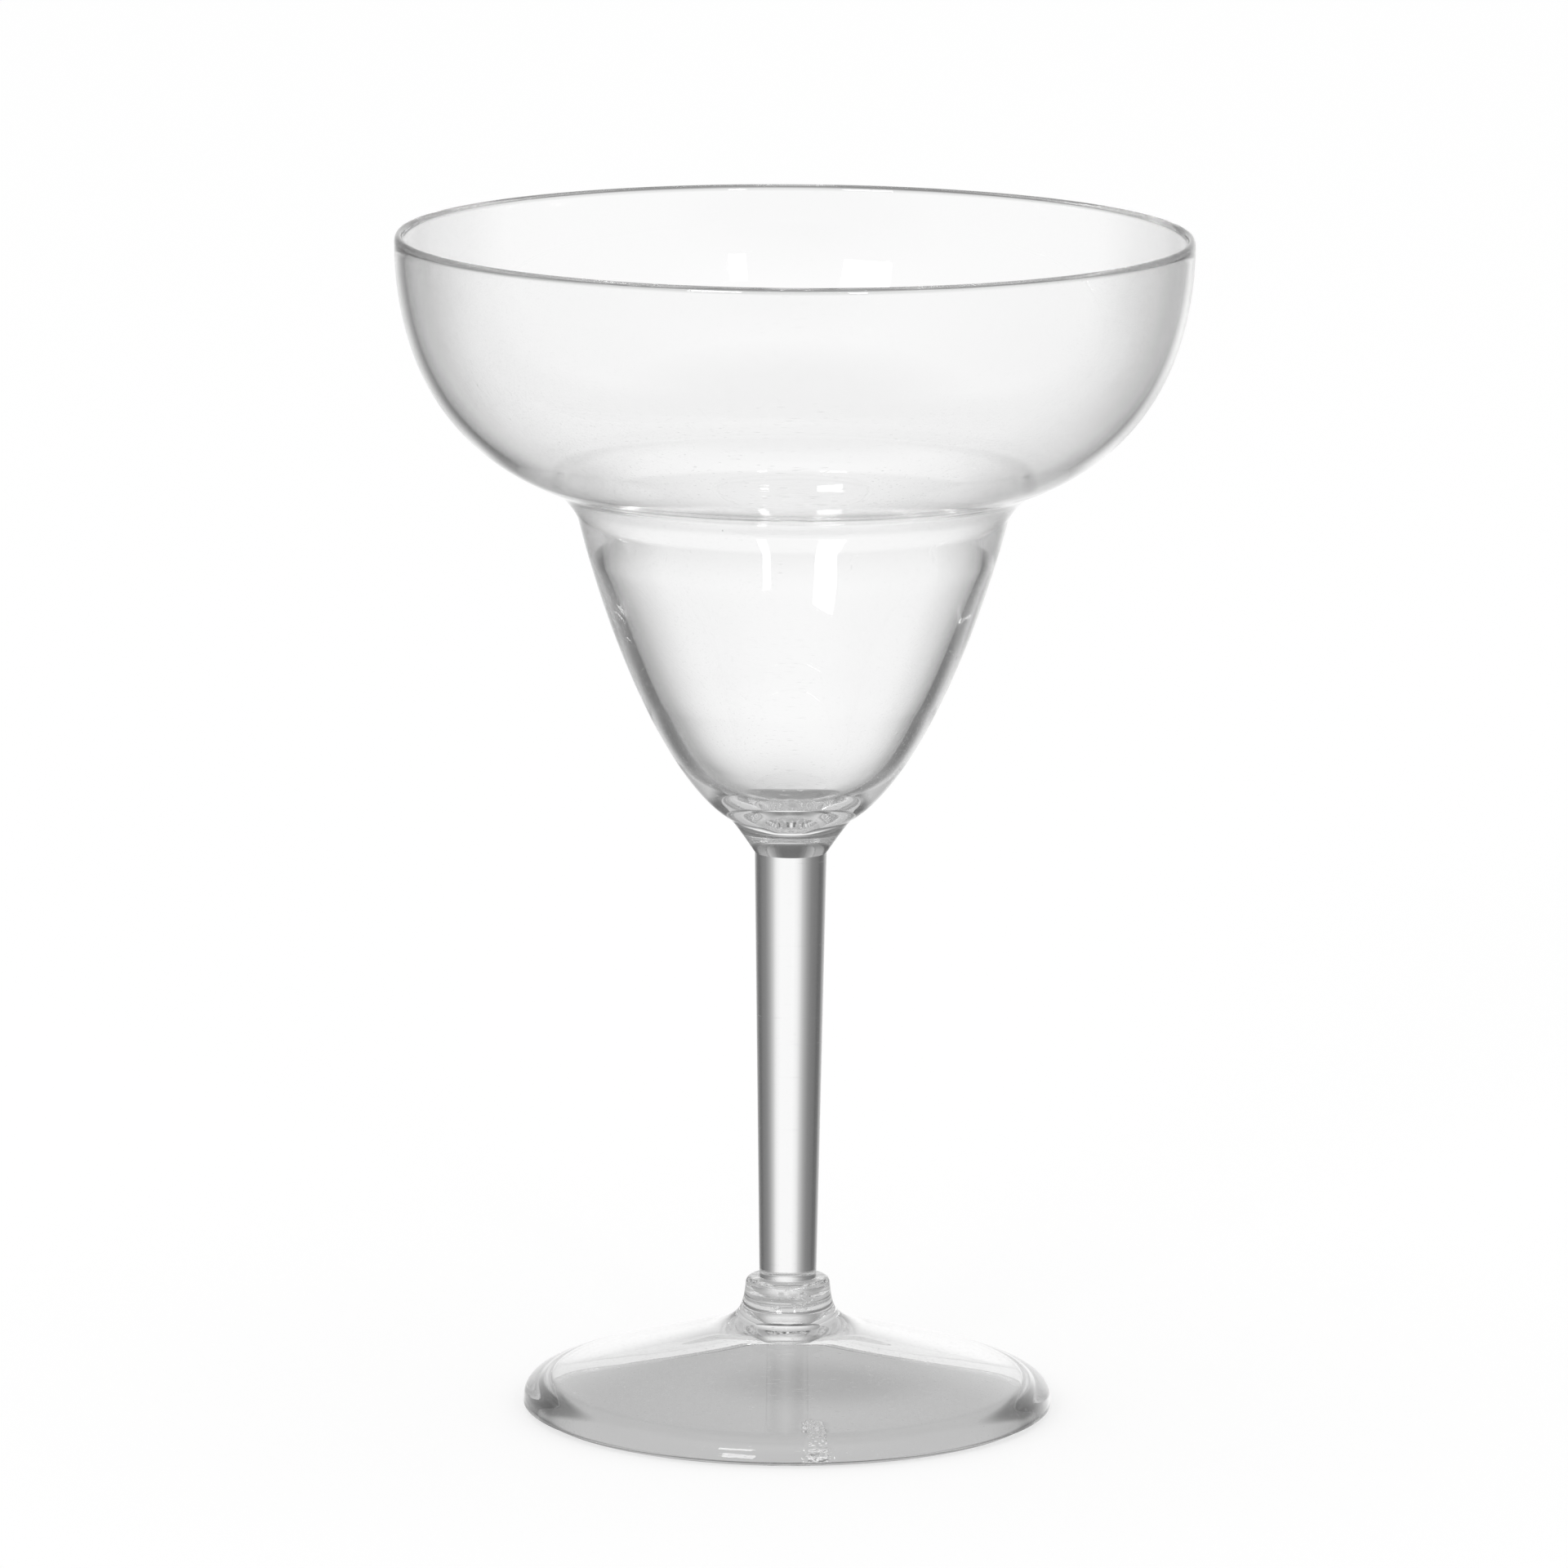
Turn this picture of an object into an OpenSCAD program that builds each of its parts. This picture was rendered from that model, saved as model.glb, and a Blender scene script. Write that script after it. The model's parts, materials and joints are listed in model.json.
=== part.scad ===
// Stemmed margarita glass moulded in clear rigid plastic.
// A bowl and its solid stem are one moulding. The domed foot, with the collar that takes the
// stem's end, is a second moulding. A film of cement in the collar's socket holds them together.
// Z is up, the table is at Z = 0 and the glass turns about the Z axis. Lengths are millimetres.

/* [Foot] */
// Outer diameter of the foot
foot_d = 76.4; // [66:0.2:90]
// Height at which the dome's slope would reach the foot's outer diameter
foot_edge_h = 3.9; // [3.2:0.1:5]
// Rise of the dome from the foot's edge to the collar's root
dome_rise = 7.8; // [5:0.1:12]
// Length of the dome's slope that the rounding of its edge takes
foot_round = 7.4; // [4:0.1:10]
// Thickness of the domed plate
plate_wall = 2.3; // [1.6:0.1:3]
// Width of the skirt that stands on the table
skirt_wall = 2.6; // [1.8:0.1:3.4]
// Height of the parting line above the table
parting_h = 0.9; // [0.6:0.1:1.4]
// Step of the foot's side below the parting line
parting_step = 0.35; // [0.2:0.05:0.6]
// Width of the flat ring that touches the table
contact_w = 1.2; // [0.8:0.1:1.6]
// Width of the gate mark left on the foot's side
gate_w = 3.1; // [2:0.1:5]
// Height of the gate mark above the parting line
gate_h = 4.4; // [2:0.1:5]
// Distance that the gate mark stands out from the foot's side
gate_proud = 0.3; // [0.1:0.05:0.5]
// Angle of the gate mark round the foot, from the front
gate_turn = 7; // [-30:1:30]

/* [Collar] */
// Outer diameter of the collar at its top
collar_d = 12.2; // [11.2:0.1:15]
// Height of the collar above the dome's root
collar_h = 7.6; // [6:0.1:11]
// Diameter of the collar's root, where its flare meets the dome
collar_root_d = 24; // [20:0.5:30]
// Rounding of the collar's top corner
collar_corner = 0.9; // [0.4:0.1:1.3]
// Depth of the socket below the collar's top
socket_depth = 7; // [5:0.1:8]
// Diameter of the boss under the plate, where it leaves the plate
boss_d = 11.6; // [10.6:0.1:14]
// Diameter of the boss at its lower face
boss_tip_d = 6.8; // [5:0.1:9]
// Plastic left below the socket's floor
boss_floor = 3.5; // [2.4:0.1:4]

/* [Cement] */
// Thickness of the cement between the stem and its socket
cement_gap = 0.2; // [0.1:0.05:0.3]
// Width of the air pocket trapped in the cement
pocket_w = 3.6; // [2:0.1:5]
// Height of the air pocket
pocket_h = 1.9; // [1:0.1:2.4]
// Depth of the pocket's middle below the collar's top
pocket_drop = 2.1; // [1.6:0.1:3]
// Angle of the air pocket round the stem, from the front
pocket_turn = 10; // [-30:1:30]

/* [Stem] */
// Length of the stem between the collar and the bowl's flare
stem_l = 62.4; // [40:0.5:90]
// Diameter of the stem at its top
stem_top_d = 10.35; // [9:0.05:12]
// Diameter of the stem where it enters the collar
stem_foot_d = 8.25; // [7.4:0.05:8.8]

/* [Bowl] */
// Height of the solid flare between the stem and the bowl
flare_h = 5; // [3.6:0.1:7]
// Diameter at the top of the flare
flare_d = 17.8; // [15:0.1:20]
// Height of the lower bowl
lower_bowl_h = 46.9; // [38:0.1:60]
// Outer diameter at the crease between the lower and the upper bowl
crease_d = 63.2; // [50:0.1:72]
// Length that the rounding of the crease takes from the outer face on each side of it
crease_round = 4; // [2:0.1:5]
// Height of the upper bowl
upper_bowl_h = 37.4; // [30:0.1:50]
// Outer diameter at the rim
rim_d = 114; // [98:0.5:126]
// Wall thickness of the upper bowl, up to its rim
rim_wall = 1.3; // [1:0.05:1.8]
// Wall thickness of the lower bowl where the rounding of the crease begins
crease_wall = 1.75; // [1.3:0.05:2.2]
// Distance below the crease at which the rounding of its inner face begins
round_below = 9.5; // [6:0.1:12]
// Height above the crease at which the rounding of its inner face ends
round_above = 7; // [4:0.1:9]
// Thickness of the solid bottom, from the stem's top up to the floor of the bowl
bottom_h = 5.2; // [4:0.1:7]
// Diameter of the flat floor inside the bowl
floor_d = 3.8; // [2:0.1:8]

/* [Hidden] */

// Facets round the axis, and points along each curve of a section
$fn = 128;
curve_steps = 20;
// Length by which a cut runs past the face that it opens
overrun = 1;

// Leans of the bowl's outline from the vertical, in degrees
rim_lean = 0.5;
shoulder_lean = 69.6;
crease_lean = 14.2;
bowl_lean = 59.3;
flare_lean = 34;
// Leans of the bowl's inner face where the crease's rounding begins and where it leaves the floor
inner_lean = 16.9;
floor_lean = 67.7;
// Lean of the collar's side
collar_lean = 6.6;
// Width and height of the chamfer on the stem's end
stem_chamfer = 0.5;

// Reach of each curve's handles, as shares of the span that they follow
upper_rim_share = 0.658;
upper_crease_share = 0.204;
lower_crease_share = 0.399;
lower_bottom_share = 0.437;
round_above_share = 0.618;
round_below_share = 0.678;
inner_crease_share = 0.621;
inner_floor_share = 0.327;
flare_stem_share = 0.62;
flare_bowl_share = 0.1;
collar_side_share = 0.46;
collar_dome_share = 0.95;
foot_shoulder_share = 0.855;
foot_side_share = 0.93;
corner_share = 0.55;

// Heights of the stations, from the table up
root_z = foot_edge_h + dome_rise;
collar_z = root_z + collar_h;
socket_z = collar_z - socket_depth;
flare_z = collar_z + stem_l;
bowl_z = flare_z + flare_h;
crease_z = bowl_z + lower_bowl_h;
rim_z = crease_z + upper_bowl_h;

// Radii of the stations
foot_r = foot_d / 2;
collar_r = collar_d / 2;
collar_root_r = collar_root_d / 2;
rim_r = rim_d / 2;
crease_r = crease_d / 2;
flare_r = flare_d / 2;
stem_foot_r = stem_foot_d / 2;
stem_top_r = stem_top_d / 2;

// Slope of the dome, as a direction that runs outwards and down
dome_run = foot_r - collar_root_r;
dome_slope = dome_rise / dome_run;
dome_dir = [1, -dome_slope] / norm([1, dome_slope]);

// Radius of the stem at a height, on the stem's straight taper
function stem_r_at(z) =
    stem_foot_r + (stem_top_r - stem_foot_r) * (z - collar_z) / stem_l;

// Points of the stem's chamfered end, grown by a gap on its side and its end alike
function stem_end(gap) =
    let (
        end_z = socket_z + cement_gap - gap,
        side_z = end_z + stem_chamfer,
        side_r = stem_r_at(side_z) + gap
    )
    [[0, end_z], [side_r - stem_chamfer, end_z], [side_r, side_z]];

// Direction in the section that rises and leans outwards by an angle
function rising(lean) = [sin(lean), cos(lean)];

// Points of a smooth curve from one point to another, with the ends of its two handles
function curve(start, start_handle, end_handle, end) = [
    for (i = [0 : curve_steps])
        let (t = i / curve_steps, s = 1 - t)
            s * s * s * start
            + 3 * s * s * t * start_handle
            + 3 * s * t * t * end_handle
            + t * t * t * end
];

// Direction of a path at one of its points
function heading(path, i) =
    let (
        before = path[max(i - 1, 0)],
        after = path[min(i + 1, len(path) - 1)]
    )
    (after - before) / norm(after - before);

// Unit vector square to a path at one of its points, on the path's left
function leftward(path, i) =
    let (along = heading(path, i))
    [-along.y, along.x];

// The same path, from its end to its start
function reversed(path) = [for (i = [len(path) - 1 : -1 : 0]) path[i]];

// Outline from the top of the stem to the rim's round lip
crease_point = [crease_r, crease_z];
flare_point = [flare_r, bowl_z];
stem_point = [stem_top_r, flare_z];
lip_point = [rim_r, rim_z - rim_wall / 2];
flare = curve(
    stem_point,
    stem_point + flare_stem_share * flare_h * rising(flare_lean),
    flare_point - flare_bowl_share * flare_h * rising(bowl_lean),
    flare_point
);
below_crease = crease_point - crease_round * rising(crease_lean);
above_crease = crease_point + crease_round * rising(shoulder_lean);
lower_bowl = curve(
    flare_point,
    flare_point + lower_bottom_share * (crease_r - flare_r) * rising(bowl_lean),
    below_crease - lower_crease_share * lower_bowl_h * rising(crease_lean),
    below_crease
);
outer_crease = curve(
    below_crease,
    below_crease + corner_share * crease_round * rising(crease_lean),
    above_crease - corner_share * crease_round * rising(shoulder_lean),
    above_crease
);
upper_bowl = curve(
    above_crease,
    above_crease + upper_crease_share * upper_bowl_h * rising(shoulder_lean),
    lip_point - upper_rim_share * upper_bowl_h * rising(rim_lean),
    lip_point
);

// Inner face. It follows the upper bowl, rounds the crease and then leaves the outer face towards
// the thick bottom
upper_inside = [
    for (i = [0 : curve_steps])
        if (upper_bowl[i].y >= crease_z + round_above)
            upper_bowl[i] + rim_wall * leftward(upper_bowl, i)
];
round_top = upper_inside[0];
round_top_dir = heading(upper_bowl, curve_steps + 1 - len(upper_inside));
round_foot =
    crease_point - round_below * rising(crease_lean) + crease_wall * rising(crease_lean - 90);
round_span = norm(round_top - round_foot);
inner_crease = curve(
    round_foot,
    round_foot + round_below_share * round_span * rising(inner_lean),
    round_top - round_above_share * round_span * round_top_dir,
    round_top
);
floor_z = flare_z + bottom_h;
floor_point = [floor_d / 2, floor_z];
lower_inside = curve(
    floor_point,
    floor_point + inner_floor_share * (round_foot.x - floor_point.x) * rising(floor_lean),
    round_foot - inner_crease_share * (round_foot.y - floor_z) * rising(inner_lean),
    round_foot
);

module bowl_and_stem() {
    color([0.86, 0.88, 0.89, 0.35])
        rotate_extrude() {
            polygon(concat(
                stem_end(0),
                flare,
                lower_bowl,
                outer_crease,
                upper_bowl,
                reversed(upper_inside),
                reversed(inner_crease),
                reversed(lower_inside),
                [[0, floor_z]]
            ));
            translate(lip_point - [rim_wall / 2, 0])
                circle(d = rim_wall);
        }
}

// Section of the stem's end up to a height, grown by a gap to give the socket itself
module stem_end_section(gap, top_z) {
    polygon(concat(stem_end(gap), [[stem_r_at(top_z) + gap, top_z], [0, top_z]]));
}

// Top face of the foot from the collar's corner to the parting line
collar_top_point = [collar_r - collar_corner, collar_z];
collar_side_point = [collar_r, collar_z - collar_corner];
root_point = [collar_root_r, root_z];
shoulder_point = [foot_r, foot_edge_h] - foot_round * dome_dir;
parting_point = [foot_r, parting_h];
collar_top_corner = curve(
    collar_top_point,
    collar_top_point + [corner_share * collar_corner, 0],
    collar_side_point + [0, corner_share * collar_corner],
    collar_side_point
);
collar_side = curve(
    collar_side_point,
    collar_side_point + collar_side_share * collar_h * [sin(collar_lean), -cos(collar_lean)],
    root_point - collar_dome_share * (collar_root_r - collar_r) * dome_dir,
    root_point
);
foot_shoulder = curve(
    shoulder_point,
    shoulder_point + foot_shoulder_share * foot_round * dome_dir,
    parting_point + [0, foot_side_share * (foot_edge_h - parting_h)],
    parting_point
);

// Hollow under the foot, from the contact ring up to the plate's underside and the boss
boss_z = socket_z - boss_floor;
boss_r = boss_d / 2;
boss_tip_r = boss_tip_d / 2;
skirt_r = foot_r - parting_step - skirt_wall;
plate_under = [0, -plate_wall / cos(atan(dome_slope))];
hollow_edge = [skirt_r, foot_edge_h + dome_slope * (foot_r - skirt_r)] + plate_under;
hollow_root = [boss_r, root_z + dome_slope * (collar_root_r - boss_r)] + plate_under;

module foot_solid_section() {
    polygon(concat(
        [[0, 0], [0, collar_z]],
        collar_top_corner,
        collar_side,
        foot_shoulder,
        [[foot_r - parting_step, parting_h], [foot_r - parting_step - skirt_wall + contact_w, 0]]
    ));
}

module foot_hollow_section() {
    polygon([
        [0, -overrun],
        [skirt_r, -overrun],
        [skirt_r, hollow_edge.y - plate_wall / 2],
        hollow_edge - plate_wall / 2 * dome_dir,
        hollow_root,
        [boss_tip_r, boss_z],
        [0, boss_z]
    ]);
}

// Scar of the gate through which the foot was filled. It follows the foot's side up from just
// above the parting line, stands a little proud of it and is rooted in the skirt.
gate_path = [
    for (at = foot_shoulder) if (at.y > parting_h && at.y <= parting_h + gate_h) at
];
gate_last = len(gate_path) - 1;

function beside_gate_path(distance) = [
    for (i = [0 : gate_last]) gate_path[i] + distance * leftward(gate_path, i)
];

module gate_mark() {
    gate_angle = 2 * asin(gate_w / foot_d);
    gate_face = beside_gate_path(gate_proud);
    gate_root = beside_gate_path(-skirt_wall / 2);
    rotate([0, 0, gate_turn - 90 - gate_angle / 2])
        rotate_extrude(angle = gate_angle)
            polygon(concat(gate_face, reversed(gate_root)));
}

module foot() {
    color([0.84, 0.86, 0.87, 0.4]) {
        rotate_extrude()
            difference() {
                foot_solid_section();
                foot_hollow_section();
                stem_end_section(cement_gap, collar_z + overrun);
            }
        gate_mark();
    }
}

// Round-ended bar that cuts the pocket of trapped air through the front of the film
module pocket_cutter() {
    side = (pocket_w - pocket_h) / 2;
    rotate([90, 0, pocket_turn])
        linear_extrude(stem_foot_r + overrun) {
            for (x = [-side, side])
                translate([x, 0])
                    circle(d = pocket_h);
            square([2 * side, pocket_h], center = true);
        }
}

module cement_film() {
    color([0.93, 0.94, 0.95, 0.5])
        difference() {
            rotate_extrude()
                difference() {
                    stem_end_section(cement_gap, collar_z);
                    stem_end_section(0, collar_z + overrun);
                }
            translate([0, 0, collar_z - pocket_drop])
                pocket_cutter();
        }
}

bowl_and_stem();
foot();
cement_film();
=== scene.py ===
import json
import math

import bpy
from mathutils import Matrix, Vector

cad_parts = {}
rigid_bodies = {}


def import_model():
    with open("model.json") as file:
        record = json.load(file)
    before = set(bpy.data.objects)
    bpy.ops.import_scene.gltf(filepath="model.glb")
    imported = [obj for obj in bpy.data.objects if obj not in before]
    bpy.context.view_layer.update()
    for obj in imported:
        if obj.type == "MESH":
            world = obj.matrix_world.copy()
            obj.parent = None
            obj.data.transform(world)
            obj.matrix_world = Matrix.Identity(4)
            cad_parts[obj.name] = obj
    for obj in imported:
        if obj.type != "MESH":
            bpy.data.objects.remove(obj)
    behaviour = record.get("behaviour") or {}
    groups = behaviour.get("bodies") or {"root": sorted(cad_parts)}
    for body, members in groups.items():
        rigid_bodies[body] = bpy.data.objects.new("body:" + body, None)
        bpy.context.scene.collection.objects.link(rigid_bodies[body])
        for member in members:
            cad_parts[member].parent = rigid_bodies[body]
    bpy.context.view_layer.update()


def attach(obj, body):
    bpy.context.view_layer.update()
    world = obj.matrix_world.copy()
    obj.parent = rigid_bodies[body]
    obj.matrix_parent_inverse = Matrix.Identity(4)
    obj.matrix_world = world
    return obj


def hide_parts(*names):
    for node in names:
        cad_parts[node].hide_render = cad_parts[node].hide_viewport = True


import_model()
bpy.ops.object.select_all(action="DESELECT")

# Camera. A long lens stands about 1.6 m in front of the glass and looks down on it by some ten
# degrees. It is turned a little in the hand, so that the glass leans to the right in the picture.
bpy.context.scene.view_settings.view_transform = "Standard"
camera_place = Vector((-0.00104, -1.5592, 0.3764))
camera_down = math.radians(10.353)
camera_roll = math.radians(0.39)
bpy.ops.object.camera_add()
camera = bpy.context.object
camera.name = "camera"
camera.matrix_world = (
    Matrix.Translation(camera_place)
    @ Matrix.Rotation(math.pi / 2 - camera_down, 4, "X")
    @ Matrix.Rotation(camera_roll, 4, "Z")
)
camera.data.sensor_width = 36
camera.data.lens = 253.7
bpy.context.scene.camera = camera

# Studio. A white card stands behind the table and paler ones at the sides and in front, with a dark
# ceiling above and dim gaps between them. The gaps are what draws a clear plastic's edges in grey.
world = bpy.data.worlds.new("studio")
bpy.context.scene.world = world
world.use_nodes = True
world.node_tree.nodes.clear()
bpy.context.scene.cycles.max_bounces = 128
bpy.context.scene.cycles.transmission_bounces = 128
bpy.context.scene.cycles.glossy_bounces = 128
bpy.context.scene.cycles.transparent_max_bounces = 128


def linear(hex_colour):
    """The colour of an sRGB hex value, as the shaders take it."""
    parts = [int(hex_colour[i:i + 2], 16) / 255 for i in (1, 3, 5)]
    return [p / 12.92 if p <= 0.04045 else ((p + 0.055) / 1.055) ** 2.4 for p in parts] + [1]


def add_node(tree, kind, settings=(), **links):
    """A new node with its settings. Each link names an input and gives its value or its source."""
    node = tree.nodes.new(kind)
    for name, value in dict(settings).items():
        setattr(node, name, value)
    for name, value in links.items():
        key = int(name[1:]) if name[0] == "_" else name.replace("_", " ")
        if isinstance(value, bpy.types.NodeSocket):
            tree.links.new(value, node.inputs[key])
        else:
            node.inputs[key].default_value = value
    return node


def set_ramp(node, stops):
    """Fills a colour ramp with grey stops, each a place from 0 to 1 and a brightness."""
    ramp = node.color_ramp
    while len(ramp.elements) < len(stops):
        ramp.elements.new(0.5)
    for element, (place, grey) in zip(ramp.elements, stops):
        element.position = place
        element.color = (grey, grey, grey, 1)


# Bearings run from straight behind the glass, 0, to the camera, 180, and each has its brightness.
# The levels were solved from what the photo shows through the plastic, then rounded and adjusted.
card_turn = 4
level_deg = [
    (0, 1.0), (8, 1.0), (13, 0.91), (17, 0.74), (19, 0.6), (22, 0.48), (25, 0.37), (28, 0.29),
    (33, 0.2), (40, 0.15), (52, 0.1), (62, 0.14), (72, 0.4), (80, 0.62), (140, 0.6), (180, 0.4),
]
# The other layers: brightness by bearing, and the slopes at which each begins and is complete
other_layers = [
    ([(0, 0.58), (15, 0.45), (35, 0.25), (55, 0.3), (70, 0.55), (100, 0.6), (150, 0.82), (180, 0.84)],
     0.1, 0.5),
    ([(0, 0.13), (180, 0.13)], 0.82, 0.98),
    ([(0, 0.85), (8, 0.7), (13, 0.4), (18, 0.25), (25, 0.16), (50, 0.2), (60, 0.4), (72, 0.6),
      (100, 0.6), (180, 0.65)], -0.2, -0.4),
    ([(0, 0.3), (10, 0.22), (20, 0.2), (35, 0.32), (50, 0.4), (62, 0.55), (80, 0.75), (180, 0.7)],
     -0.45, -0.62),
    ([(0, 0.68), (180, 0.68)], -0.8, -1.0),
]
tree = world.node_tree
toward = add_node(tree, "ShaderNodeTexCoord").outputs["Generated"]
turned = add_node(
    tree, "ShaderNodeVectorRotate", {"rotation_type": "Z_AXIS"},
    Vector=toward, Angle=math.radians(card_turn),
)
split = add_node(tree, "ShaderNodeSeparateXYZ", Vector=turned.outputs[0])
side = add_node(tree, "ShaderNodeMath", {"operation": "ABSOLUTE"}, _0=split.outputs["X"])
bearing = add_node(
    tree, "ShaderNodeMath", {"operation": "ARCTAN2"}, _0=side.outputs[0], _1=split.outputs["Y"]
)
bearing_share = add_node(
    tree, "ShaderNodeMath", {"operation": "DIVIDE"}, _0=bearing.outputs[0], _1=math.pi
)
level = add_node(tree, "ShaderNodeValToRGB", Fac=bearing_share.outputs[0])
set_ramp(level, [(angle / 180, grey) for angle, grey in level_deg])
around = level.outputs["Color"]
for stops_deg, begins, complete in other_layers:
    layer = add_node(tree, "ShaderNodeValToRGB", Fac=bearing_share.outputs[0])
    set_ramp(layer, [(angle / 180, grey) for angle, grey in stops_deg])
    share = add_node(
        tree, "ShaderNodeMapRange", Value=split.outputs["Z"],
        From_Min=begins, From_Max=complete, To_Min=0, To_Max=1,
    )
    mixed = add_node(
        tree, "ShaderNodeMix", {"data_type": "RGBA"},
        _0=share.outputs[0], _6=around, _7=layer.outputs["Color"],
    )
    around = mixed.outputs[2]
path = add_node(tree, "ShaderNodeLightPath")
seen = add_node(tree, "ShaderNodeBackground", Color=(1, 1, 1, 1), Strength=1)
through = add_node(tree, "ShaderNodeBackground", Color=around, Strength=1)
ambient = add_node(tree, "ShaderNodeBackground", Color=(1, 1, 1, 1), Strength=0.9)
not_straight = add_node(
    tree, "ShaderNodeMixShader", Fac=path.outputs["Is Diffuse Ray"],
    _1=through.outputs[0], _2=ambient.outputs[0],
)
sky = add_node(
    tree, "ShaderNodeMixShader", Fac=path.outputs["Is Camera Ray"],
    _1=not_straight.outputs[0], _2=seen.outputs[0],
)
add_node(tree, "ShaderNodeOutputWorld", Surface=sky.outputs[0])

# Two small soft boxes beside the camera give the bowl its upright streaks and the foot its dashes:
# name, turn from the front, height angle, width and height in metres, power in watts
soft_boxes = [
    ("soft box left", -23, 24, 0.4, 0.28, 2.2),
    ("soft box right", 18, 22, 0.14, 0.28, 0.8),
]
lamp_reach = 1.6
for name, turn, height, wide, tall, watts in soft_boxes:
    toward_lamp = (
        Matrix.Rotation(math.radians(turn), 4, "Z") @ Matrix.Rotation(math.radians(90 - height), 4, "X")
    )
    bpy.ops.object.light_add(type="AREA")
    lamp = bpy.context.object
    lamp.name = name
    lamp.matrix_world = (
        Matrix.Translation((0, 0, 0.08)) @ toward_lamp @ Matrix.Translation((0, 0, lamp_reach))
    )
    lamp.data.shape = "RECTANGLE"
    lamp.data.size = wide
    lamp.data.size_y = tall
    lamp.data.energy = watts

# Table. A white matt table top, larger than the picture. Beyond the foot it meets the white cards
# without an edge; under the foot it is seen through the plastic and shows painted shade.
table_side = 5
foot_shade_r, shade_edge = 0.0366, 0.001
boss_cloud_at, boss_cloud_r = (0.005, 0.009, 0), (0.004, 0.02)
skirt_ring_r, ring_front_y, ring_depth = (0.0325, 0.0342), (0.002, -0.008), 0.62
bpy.ops.mesh.primitive_plane_add(size=table_side)
table = bpy.context.object
table.name = "table"
# Matt white. The camera sees it as pale as the card behind, with a faint shadow. Rays that have come
# through the plastic see the shade under the foot, and most of it is painted, not cast by light:
# a glow that stands in for the table's sheen, a painted dark cloud beside the boss and a painted
# darker ring along the front of the skirt.
table_top = bpy.data.materials.new("white matt table top")
table_top.use_nodes = True
tree = table_top.node_tree
tree.nodes.clear()
path = add_node(tree, "ShaderNodeLightPath")
place = add_node(tree, "ShaderNodeTexCoord").outputs["Object"]
distance = add_node(tree, "ShaderNodeVectorMath", {"operation": "LENGTH"}, _0=place)
beyond = add_node(
    tree, "ShaderNodeMapRange", {"interpolation_type": "SMOOTHSTEP"},
    Value=distance.outputs["Value"],
    From_Min=foot_shade_r - shade_edge, From_Max=foot_shade_r + shade_edge,
)
off_boss = add_node(
    tree, "ShaderNodeVectorMath", {"operation": "DISTANCE"}, _0=place, _1=boss_cloud_at,
)
# Painted shade: a darker cloud on the table beside the boss, seen through the foot.
painted_boss_shade = add_node(
    tree, "ShaderNodeMapRange", {"interpolation_type": "SMOOTHSTEP"},
    Value=off_boss.outputs["Value"], From_Min=boss_cloud_r[0], From_Max=boss_cloud_r[1],
    To_Min=0.44, To_Max=0.58,
)
matt = add_node(tree, "ShaderNodeBsdfDiffuse", Color=linear("#F4F4F4"))
glow = add_node(tree, "ShaderNodeEmission", Color=(1, 1, 1, 1), Strength=1.12)
# Painted shade: a darker ring on the table along the front of the skirt, seen through the foot.
by_skirt = add_node(
    tree, "ShaderNodeMapRange", {"interpolation_type": "SMOOTHSTEP"},
    Value=distance.outputs["Value"], From_Min=skirt_ring_r[0], From_Max=skirt_ring_r[1],
    To_Min=0, To_Max=ring_depth,
)
nearer = add_node(tree, "ShaderNodeSeparateXYZ", Vector=place)
at_front = add_node(
    tree, "ShaderNodeMapRange", {"interpolation_type": "SMOOTHSTEP"},
    Value=nearer.outputs["Y"], From_Min=ring_front_y[0], From_Max=ring_front_y[1],
    To_Min=0, To_Max=1,
)
painted_skirt_shade = add_node(
    tree, "ShaderNodeMath", {"operation": "MULTIPLY"},
    _0=by_skirt.outputs[0], _1=at_front.outputs[0],
)
left_over = add_node(
    tree, "ShaderNodeMath", {"operation": "SUBTRACT"}, _0=1, _1=painted_skirt_shade.outputs[0],
)
shade = add_node(
    tree, "ShaderNodeMath", {"operation": "MULTIPLY"},
    _0=painted_boss_shade.outputs[0], _1=left_over.outputs[0],
)
# Painted light: an emission that stands in for the table's sheen under the foot, dimmed by the painted
# shade.
painted_sheen = add_node(tree, "ShaderNodeEmission", Color=(1, 1, 1, 1), Strength=shade.outputs[0])
shaded = add_node(tree, "ShaderNodeMixShader", Fac=0.8, _1=matt.outputs[0], _2=painted_sheen.outputs[0])
lit = add_node(tree, "ShaderNodeMixShader", Fac=0.6, _1=matt.outputs[0], _2=glow.outputs[0])
open_way = add_node(tree, "ShaderNodeBsdfTransparent")
bounced = add_node(
    tree, "ShaderNodeMath", {"operation": "MAXIMUM"},
    _0=path.outputs["Is Transmission Ray"], _1=path.outputs["Is Glossy Ray"],
)
past_foot = add_node(
    tree, "ShaderNodeMath", {"operation": "MULTIPLY"},
    _0=bounced.outputs[0], _1=beyond.outputs[0],
)
by_bounce = add_node(
    tree, "ShaderNodeMixShader", Fac=bounced.outputs[0], _1=matt.outputs[0], _2=shaded.outputs[0],
)
for_camera = add_node(
    tree, "ShaderNodeMixShader", Fac=path.outputs["Is Camera Ray"],
    _1=by_bounce.outputs[0], _2=lit.outputs[0],
)
top = add_node(
    tree, "ShaderNodeMixShader", Fac=past_foot.outputs[0],
    _1=for_camera.outputs[0], _2=open_way.outputs[0],
)
add_node(tree, "ShaderNodeOutputMaterial", Surface=top.outputs[0])
table.data.materials.append(table_top)

# Bowl and stem. One injection moulding in clear polycarbonate: a wide upper bowl, the crease, the
# lower bowl with a thick bottom, and a solid stem that tapers down to its end in the foot's socket.
MM = 0.001
turn_steps = 240
merge_gap = 0.002
# Handles of this share of the radius make a curve very nearly a quarter of a circle
round_share = 0.5523

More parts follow.
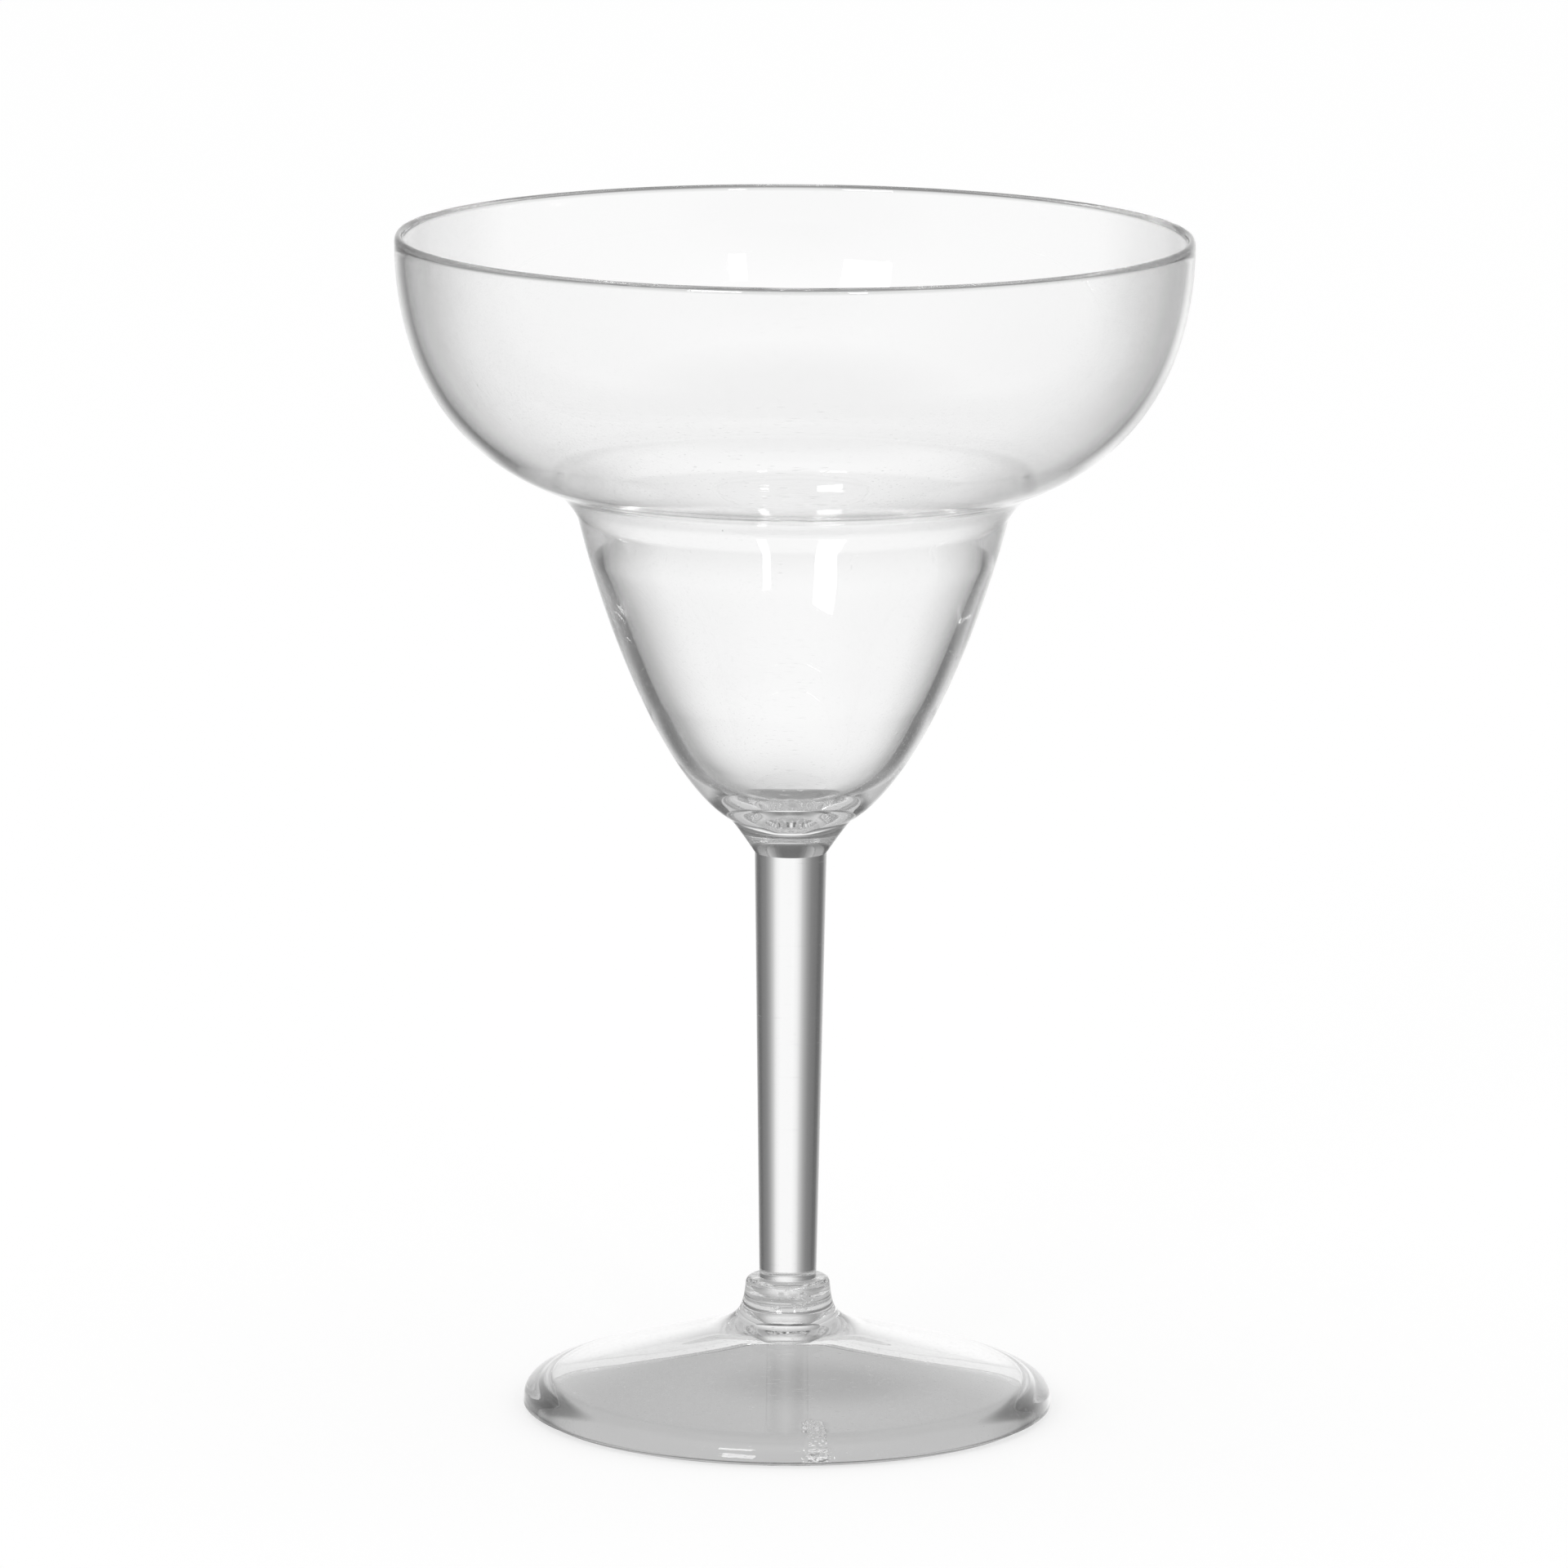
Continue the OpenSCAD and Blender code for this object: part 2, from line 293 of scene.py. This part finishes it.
# Sizes in mm, and leans in degrees from upright
rim_d, rim_z, rim_wall, rim_lean = 114, 171, 1.3, 0.5
lip_h = 1.1
crease_lean, shoulder_lean, crease_bend = 14.2, 69.6, 2.11
inner_lean, neck_lean, middle_lean, inner_rim_lean = 16.9, 48.9, 27.4, 0.7
flare_d, bowl_z, bowl_lean, flare_lean = 17.8, 86.7, 59.3, 34
stem_top_d, flare_z = 10.35, 81.7
stem_foot_d, collar_z = 8.25, 19.3
floor_d, floor_z, floor_lean, floor_dish = 3.8, 86.9, 67.7, 0.16
spigot_end_z, stem_chamfer = 12.5, 0.5
# How far each curve holds the lean of its lower and of its upper end. These, the leans and the
# curves' end points are fits to the photo's outline and to its light and dark lines, rounded.
flare_pull, outer_lower_pull, outer_upper_pull = (3.1, 0.5), (9.92, 18.72), (7.65, 24.15)
floor_pull, inner_lower_pull, inner_middle_pull = (1.0, 0.5), (9.70, 13.19), (5.04, 5.85)
inner_round_pull, inner_upper_pull = (16.31, 14.88), (6.04, 16.04)


def rising(lean):
    """Direction in the section that rises and leans outwards by an angle in degrees."""
    return Vector((math.sin(math.radians(lean)), math.cos(math.radians(lean))))


def draw_stretch(start, end, start_handle=None, end_handle=None, steps=1):
    """One stretch of a section, drawn as a curve from start to end, each (radius, height) in mm."""
    start, end = Vector(start), Vector(end)
    bpy.ops.curve.primitive_bezier_curve_add()
    stretch = bpy.context.object
    spline = stretch.data.splines[0]
    spline.resolution_u = steps
    first, last = spline.bezier_points
    for point, at in ((first, start), (last, end)):
        point.handle_left_type = point.handle_right_type = "FREE"
        point.co = Vector((at.x, 0, at.y)) * MM
        point.handle_left = point.handle_right = point.co
    if start_handle is not None:
        first.handle_right = Vector((start_handle[0], 0, start_handle[1])) * MM
        last.handle_left = Vector((end_handle[0], 0, end_handle[1])) * MM
    return stretch


def turn_section(name, stretches):
    """Joins the stretches of a section, turns them about the glass's axis and closes the poles."""
    bpy.ops.object.select_all(action="DESELECT")
    for stretch in stretches:
        stretch.select_set(True)
    bpy.context.view_layer.objects.active = stretches[0]
    bpy.ops.object.join()
    bpy.ops.object.convert(target="MESH")
    piece = bpy.context.object
    piece.name = piece.data.name = name
    bpy.ops.object.mode_set(mode="EDIT")
    bpy.ops.mesh.select_all(action="SELECT")
    bpy.ops.mesh.remove_doubles(threshold=merge_gap * MM)
    bpy.ops.mesh.spin(
        steps=turn_steps, angle=2 * math.pi, center=(0, 0, 0), axis=(0, 0, 1), use_auto_merge=True
    )
    bpy.ops.mesh.select_all(action="SELECT")
    bpy.ops.mesh.remove_doubles(threshold=merge_gap * MM)
    bpy.ops.mesh.normals_make_consistent(inside=False)
    bpy.ops.object.mode_set(mode="OBJECT")
    bpy.ops.object.shade_smooth_by_angle(angle=math.radians(8))
    piece.select_set(False)
    return piece


stem_point = Vector((stem_top_d / 2, flare_z))
flare_point = Vector((flare_d / 2, bowl_z))
lip_point = Vector((rim_d / 2, rim_z - lip_h))
lip_top = Vector((rim_d / 2 - rim_wall / 2, rim_z))
lip_inner = lip_point - Vector((rim_wall, 0))
lip_reach = Vector((round_share * rim_wall / 2, 0))
lip_rise = Vector((0, round_share * lip_h))
below_crease = Vector((30.626, 129.75))
above_crease = Vector((35.47, 135.03))
round_foot = Vector((27.593, 124.83))
round_top = Vector((44.51, 141.95))
inner_middle = Vector((19.05, 104))
floor_edge = Vector((floor_d / 2, floor_z + floor_dish))
collar_point = Vector((stem_foot_d / 2, collar_z))
taper = (stem_point.x - collar_point.x) / (stem_point.y - collar_point.y)
spigot_r = collar_point.x - taper * (collar_z - spigot_end_z - stem_chamfer)

bowl_and_stem = turn_section("clear_bowl_and_stem", [
    draw_stretch((0, spigot_end_z), (spigot_r - stem_chamfer, spigot_end_z)),
    draw_stretch((spigot_r - stem_chamfer, spigot_end_z), (spigot_r, spigot_end_z + stem_chamfer)),
    draw_stretch((spigot_r, spigot_end_z + stem_chamfer), collar_point),
    draw_stretch(collar_point, stem_point, steps=12),
    draw_stretch(
        stem_point, flare_point,
        stem_point + flare_pull[0] * rising(flare_lean),
        flare_point - flare_pull[1] * rising(bowl_lean), steps=20,
    ),
    draw_stretch(
        flare_point, below_crease,
        flare_point + outer_lower_pull[0] * rising(bowl_lean),
        below_crease - outer_lower_pull[1] * rising(crease_lean), steps=50,
    ),
    draw_stretch(
        below_crease, above_crease,
        below_crease + crease_bend * rising(crease_lean),
        above_crease - crease_bend * rising(shoulder_lean), steps=24,
    ),
    draw_stretch(
        above_crease, lip_point,
        above_crease + outer_upper_pull[0] * rising(shoulder_lean),
        lip_point - outer_upper_pull[1] * rising(rim_lean), steps=70,
    ),
    draw_stretch(lip_point, lip_top, lip_point + lip_rise, lip_top + lip_reach, steps=8),
    draw_stretch(lip_top, lip_inner, lip_top - lip_reach, lip_inner + lip_rise, steps=8),
    draw_stretch(
        round_top, lip_inner,
        round_top + inner_upper_pull[0] * rising(neck_lean),
        lip_inner - inner_upper_pull[1] * rising(inner_rim_lean), steps=50,
    ),
    draw_stretch(
        round_foot, round_top,
        round_foot + inner_round_pull[0] * rising(inner_lean),
        round_top - inner_round_pull[1] * rising(neck_lean), steps=50,
    ),
    draw_stretch(
        inner_middle, round_foot,
        inner_middle + inner_middle_pull[0] * rising(middle_lean),
        round_foot - inner_middle_pull[1] * rising(inner_lean), steps=40,
    ),
    draw_stretch(
        floor_edge, inner_middle,
        floor_edge + inner_lower_pull[0] * rising(floor_lean),
        inner_middle - inner_lower_pull[1] * rising(middle_lean), steps=50,
    ),
    draw_stretch(
        (0, floor_z), floor_edge,
        (floor_pull[0], floor_z), floor_edge - floor_pull[1] * rising(floor_lean), steps=8,
    ),
])
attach(bowl_and_stem, "root")
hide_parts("bowl_and_stem")

# Polished mould faces give a clear gloss. The faint waves are the plastic's shrinkage in the mould,
# and the fine scratches and specks of dust come from washing and handling. A scratch is drawn under
# 0.1 mm wide and about 1 to 2 mm long, coarser than a real one, so that it shows.
plastic_ior = 1.585
polycarbonate = bpy.data.materials.new("clear moulded polycarbonate")
polycarbonate.use_nodes = True
tree = polycarbonate.node_tree
tree.nodes.clear()
place = add_node(tree, "ShaderNodeTexCoord").outputs["Object"]
waves = add_node(tree, "ShaderNodeTexNoise", Vector=place, Scale=70, Detail=2, Roughness=0.4)
haze = add_node(tree, "ShaderNodeTexNoise", Vector=place, Scale=260, Detail=4, Roughness=0.6)
wear = None
for turn, long_mm, wide_mm in ((25, 9, 0.5), (-50, 14, 0.6), (80, 6, 0.45)):
    laid = add_node(
        tree, "ShaderNodeMapping", Vector=place, Rotation=(0.3, math.radians(turn), 0.2),
        Scale=(1000 / long_mm, 1000 / wide_mm, 1000 / wide_mm),
    )
    cells = add_node(tree, "ShaderNodeTexVoronoi", Vector=laid.outputs[0], Scale=1, Randomness=1)
    scratch = add_node(
        tree, "ShaderNodeMapRange", Value=cells.outputs["Distance"],
        From_Min=0.09, From_Max=0.04, To_Min=0, To_Max=1,
    )
    wear = scratch if wear is None else add_node(
        tree, "ShaderNodeMath", {"operation": "MAXIMUM"}, _0=wear.outputs[0], _1=scratch.outputs[0],
    )
dust = add_node(tree, "ShaderNodeTexVoronoi", Vector=place, Scale=130, Randomness=1)
specks = add_node(
    tree, "ShaderNodeMapRange", Value=dust.outputs["Distance"],
    From_Min=0.03, From_Max=0.018, To_Min=0, To_Max=1,
)
marks = add_node(
    tree, "ShaderNodeMath", {"operation": "MAXIMUM"}, _0=wear.outputs[0], _1=specks.outputs[0],
)
rough = add_node(
    tree, "ShaderNodeMapRange", Value=marks.outputs[0], From_Min=0, From_Max=1, To_Min=0, To_Max=0.25,
)
film_haze = add_node(
    tree, "ShaderNodeMapRange", Value=haze.outputs["Fac"],
    From_Min=0.55, From_Max=0.8, To_Min=0, To_Max=0.004,
)
roughness = add_node(
    tree, "ShaderNodeMath", {"operation": "ADD"}, _0=rough.outputs[0], _1=film_haze.outputs[0],
)
mould = add_node(
    tree, "ShaderNodeBump", Strength=1, Distance=0.00001, Height=waves.outputs["Fac"],
)
worn = add_node(
    tree, "ShaderNodeBump", Strength=1, Distance=0.000006, Height=marks.outputs[0],
    Normal=mould.outputs[0],
)
clear = add_node(
    tree, "ShaderNodeBsdfPrincipled", Base_Color=linear("#FFFFFF"), Roughness=roughness.outputs[0],
    IOR=plastic_ior, Transmission_Weight=1, Normal=worn.outputs[0],
)
add_node(tree, "ShaderNodeOutputMaterial", Surface=clear.outputs[0])
bowl_and_stem.data.materials.append(polycarbonate)

# The cured cement bends light as the plastic does, so a cemented face can't be seen.
bond = bpy.data.materials.new("cemented face")
bond.use_nodes = True
tree = bond.node_tree
tree.nodes.clear()
matched = add_node(tree, "ShaderNodeBsdfTransparent", Color=(1, 1, 1, 1))
add_node(tree, "ShaderNodeOutputMaterial", Surface=matched.outputs[0])
bowl_and_stem.data.materials.append(bond)
for face in bowl_and_stem.data.polygons:
    if face.center.z < collar_z * MM:
        face.material_index = 1

# Foot. The second moulding, in the same plastic: a shallow domed plate on a skirt, a collar with
# the blind socket on top, and the boss that carries the socket's bottom under the plate.
foot_d, foot_edge_h, foot_round = 76.4, 3.9, 7.4
dome_rise, root_z, collar_root_d = 7.8, 11.7, 24
collar_d, collar_corner, collar_lean = 12.2, 0.9, 6.6
parting_h, parting_step, contact_w, skirt_wall = 0.9, 0.35, 1.2, 2.6
plate_wall, boss_d, boss_tip_d, boss_z = 2.3, 11.6, 6.8, 8.8
hollow_round = 2.1
collar_pull, edge_pull = (3.5, 5.6), (6.33, 2.79)
cement_gap, socket_z = 0.2, 12.3

dome_slope = dome_rise / (foot_d / 2 - collar_root_d / 2)
dome_dir = Vector((1, -dome_slope)).normalized()
collar_top = Vector((collar_d / 2 - collar_corner, collar_z))
collar_side = Vector((collar_d / 2, collar_z - collar_corner))
root_point = Vector((collar_root_d / 2, root_z))
shoulder_point = Vector((foot_d / 2, foot_edge_h)) - foot_round * dome_dir
parting_point = Vector((foot_d / 2, parting_h))
step_point = parting_point - Vector((parting_step, 0))
skirt_r = step_point.x - skirt_wall
contact_point = Vector((skirt_r + contact_w, 0))
plate_under = Vector((0, -plate_wall * math.hypot(1, dome_slope)))
hollow_edge = Vector((skirt_r, foot_edge_h + dome_slope * (foot_d / 2 - skirt_r))) + plate_under
boss_root = Vector((boss_d / 2, root_z + dome_slope * (collar_root_d - boss_d) / 2)) + plate_under
hollow_side = hollow_edge - Vector((0, hollow_round))
hollow_top = hollow_edge - hollow_round * dome_dir
socket_r = spigot_r + cement_gap
socket_mouth = collar_point + Vector((cement_gap, 0))

foot = turn_section("clear_foot", [
    draw_stretch((0, socket_z), (socket_r - stem_chamfer, socket_z)),
    draw_stretch((socket_r - stem_chamfer, socket_z), (socket_r, socket_z + stem_chamfer)),
    draw_stretch((socket_r, socket_z + stem_chamfer), socket_mouth),
    draw_stretch(socket_mouth, collar_top),
    draw_stretch(
        collar_top, collar_side,
        collar_top + Vector((round_share * collar_corner, 0)),
        collar_side + Vector((0, round_share * collar_corner)), steps=10,
    ),
    draw_stretch(
        collar_side, root_point,
        collar_side + collar_pull[0] * Vector((rising(collar_lean).x, -rising(collar_lean).y)),
        root_point - collar_pull[1] * dome_dir, steps=30,
    ),
    draw_stretch(root_point, shoulder_point, steps=12),
    draw_stretch(
        shoulder_point, parting_point,
        shoulder_point + edge_pull[0] * dome_dir,
        parting_point + Vector((0, edge_pull[1])), steps=24,
    ),
    draw_stretch(parting_point, step_point),
    draw_stretch(step_point, contact_point, steps=4),
    draw_stretch(contact_point, (skirt_r, 0)),
    draw_stretch((skirt_r, 0), hollow_side, steps=2),
    draw_stretch(
        hollow_side, hollow_top,
        hollow_side + Vector((0, round_share * hollow_round)),
        hollow_top + round_share * hollow_round * dome_dir, steps=16,
    ),
    draw_stretch(hollow_top, boss_root, steps=12),
    draw_stretch(boss_root, (boss_tip_d / 2, boss_z), steps=4),
    draw_stretch((boss_tip_d / 2, boss_z), (0, boss_z), steps=2),
])
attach(foot, "root")
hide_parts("foot")
foot.data.materials.append(polycarbonate)
foot.data.materials.append(bond)
for face in foot.data.polygons:
    at = face.center
    if math.hypot(at.x, at.y) < socket_mouth.x * MM and socket_z * MM < at.z + 0.1 * MM < collar_z * MM:
        face.material_index = 1

# The sprue was snapped off the gate and left a rough patch on the edge, a little right of the
# front. It stands proud by under half a millimetre.
gate_turn, gate_half, gate_low, gate_high, gate_grain = 7, 2.3, 1.0, 5.6, 0.8
foot.vertex_groups.new(name="gate")
foot.select_set(True)
bpy.context.view_layer.objects.active = foot
bpy.ops.object.mode_set(mode="EDIT")
bpy.ops.mesh.select_mode(type="FACE")
bpy.ops.mesh.select_all(action="DESELECT")
bpy.ops.object.mode_set(mode="OBJECT")
for face in foot.data.polygons:
    at = face.center / MM
    turn = math.degrees(math.atan2(at.x, -at.y))
    outward = face.normal.x * at.x + face.normal.y * at.y > 0.1 * math.hypot(at.x, at.y)
    on_side = outward and at.xy.length > collar_root_d and gate_low < at.z < gate_high
    face.select = on_side and abs(turn - gate_turn) < gate_half
bpy.ops.object.mode_set(mode="EDIT")
bpy.ops.mesh.subdivide(number_cuts=6)
bpy.ops.mesh.select_less()
bpy.ops.object.vertex_group_assign()
bpy.ops.object.mode_set(mode="OBJECT")
for name, grain, proud in (("broken gate", gate_grain, 0.4), ("gate grain", gate_grain / 2, 0.08)):
    grains = bpy.data.textures.new(name, "VORONOI")
    grains.noise_scale = grain * MM
    break_up = foot.modifiers.new(name, "DISPLACE")
    break_up.texture = grains
    break_up.texture_coords = "LOCAL"
    break_up.vertex_group = "gate"
    break_up.strength = proud * MM
    break_up.mid_level = 0.1
    bpy.ops.object.modifier_apply(modifier=name)
bpy.ops.object.mode_set(mode="EDIT")
bpy.ops.mesh.select_mode(type="VERT")
bpy.ops.object.mode_set(mode="OBJECT")
foot.select_set(False)

# Cement. A thin film of clear solvent cement, run into the socket before the stem was pushed home.
# It fills the gap round the stem's end, but for some air that was trapped in it as it cured.
film_slack = 0.02
film_mouth = collar_point + Vector((cement_gap - film_slack, -film_slack))
film = turn_section("clear_cement_film", [
    draw_stretch((0, socket_z + film_slack), (socket_r - stem_chamfer, socket_z + film_slack)),
    draw_stretch(
        (socket_r - stem_chamfer, socket_z + film_slack), (socket_r - film_slack, socket_z + stem_chamfer),
    ),
    draw_stretch((socket_r - film_slack, socket_z + stem_chamfer), film_mouth),
    draw_stretch(film_mouth, collar_point + Vector((film_slack, -film_slack))),
    draw_stretch(
        collar_point + Vector((film_slack, -film_slack)),
        (spigot_r + film_slack, spigot_end_z + stem_chamfer),
    ),
    draw_stretch(
        (spigot_r + film_slack, spigot_end_z + stem_chamfer),
        (spigot_r - stem_chamfer, spigot_end_z - film_slack),
    ),
    draw_stretch((spigot_r - stem_chamfer, spigot_end_z - film_slack), (0, spigot_end_z - film_slack)),
])
film.data.materials.append(bond)


def film_r(z, share):
    """Radius inside the cement at a height: 0 at the stem, 1 at the socket's wall."""
    return collar_point.x - taper * (collar_z - z) + share * cement_gap


# Air trapped in the film: turn from the front, height, width, height of the void, tilt, raggedness
voids = [
    (14, 17.0, 5.0, 2.0, 14, 0.5), (-18.4, 15.4, 0.85, 0.85, 0, 0), (9, 15.9, 0.4, 0.35, 0, 0),
    (12, 15.6, 0.5, 0.6, 10, 0.1), (-28, 16.4, 0.3, 0.3, 0, 0), (33, 15.2, 0.45, 0.4, 0, 0),
]
ragged = bpy.data.textures.new("ragged cement edge", "CLOUDS")
ragged.noise_scale = 0.7 * MM
parts = [film]
# The cement drew back from the air as it cured, which left a wrinkled skin that breaks up the light.
torn = bpy.data.materials.new("torn skin of cured cement")
torn.use_nodes = True
tree = torn.node_tree
tree.nodes.clear()
place = add_node(tree, "ShaderNodeTexCoord").outputs["Object"]
wrinkles = add_node(tree, "ShaderNodeTexNoise", Vector=place, Scale=550, Detail=1, Roughness=0.5)
creased = add_node(
    tree, "ShaderNodeBump", Strength=1, Distance=0.001, Height=wrinkles.outputs["Fac"],
)
skin_blur = add_node(
    tree, "ShaderNodeMapRange", Value=wrinkles.outputs["Fac"],
    From_Min=0.5, From_Max=0.7, To_Min=0, To_Max=0.06,
)
skin = add_node(
    tree, "ShaderNodeBsdfPrincipled", Base_Color=linear("#FFFFFF"), Roughness=skin_blur.outputs[0],
    IOR=plastic_ior, Transmission_Weight=1, Normal=creased.outputs[0],
)
add_node(tree, "ShaderNodeOutputMaterial", Surface=skin.outputs[0])

for turn, z, wide, tall, tilt, ragged_by in voids:
    low, high = z - 0.75 * tall, z + 0.75 * tall
    shell = turn_section("air in the cement", [
        draw_stretch((film_r(low, 0.2), low), (film_r(low, 0.8), low)),
        draw_stretch((film_r(low, 0.8), low), (film_r(high, 0.8), high)),
        draw_stretch((film_r(high, 0.8), high), (film_r(high, 0.2), high)),
        draw_stretch((film_r(high, 0.2), high), (film_r(low, 0.2), low)),
    ])
    bpy.ops.mesh.primitive_ico_sphere_add(subdivisions=5, radius=1)
    blob = bpy.context.object
    blob.scale = Vector((wide / 2, max(0.3, wide / 3), tall / 2)) * MM
    bpy.ops.object.transform_apply(location=False, rotation=False, scale=True)
    if ragged_by:
        tear = blob.modifiers.new("ragged", "DISPLACE")
        tear.texture = ragged
        tear.texture_coords = "LOCAL"
        tear.strength = ragged_by * MM
        bpy.ops.object.modifier_apply(modifier="ragged")
    blob.matrix_world = (
        Matrix.Rotation(math.radians(turn), 4, "Z")
        @ Matrix.Translation(Vector((0, -film_r(z, 0.5), z)) * MM)
        @ Matrix.Rotation(math.radians(tilt), 4, "Y")
    )
    bpy.ops.object.transform_apply(location=True, rotation=True, scale=True)
    bpy.ops.object.select_all(action="DESELECT")
    bpy.context.view_layer.objects.active = shell
    shell.select_set(True)
    cut = shell.modifiers.new("bubble", "BOOLEAN")
    cut.operation = "INTERSECT"
    cut.object = blob
    bpy.ops.object.modifier_apply(modifier="bubble")
    bpy.data.objects.remove(blob)
    bpy.ops.object.mode_set(mode="EDIT")
    bpy.ops.mesh.select_all(action="SELECT")
    bpy.ops.mesh.flip_normals()
    bpy.ops.object.mode_set(mode="OBJECT")
    shell.data.materials.append(torn)
    parts.append(shell)
for part in parts:
    part.select_set(True)
bpy.context.view_layer.objects.active = film
bpy.ops.object.join()
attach(film, "root")
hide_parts("cement_film")
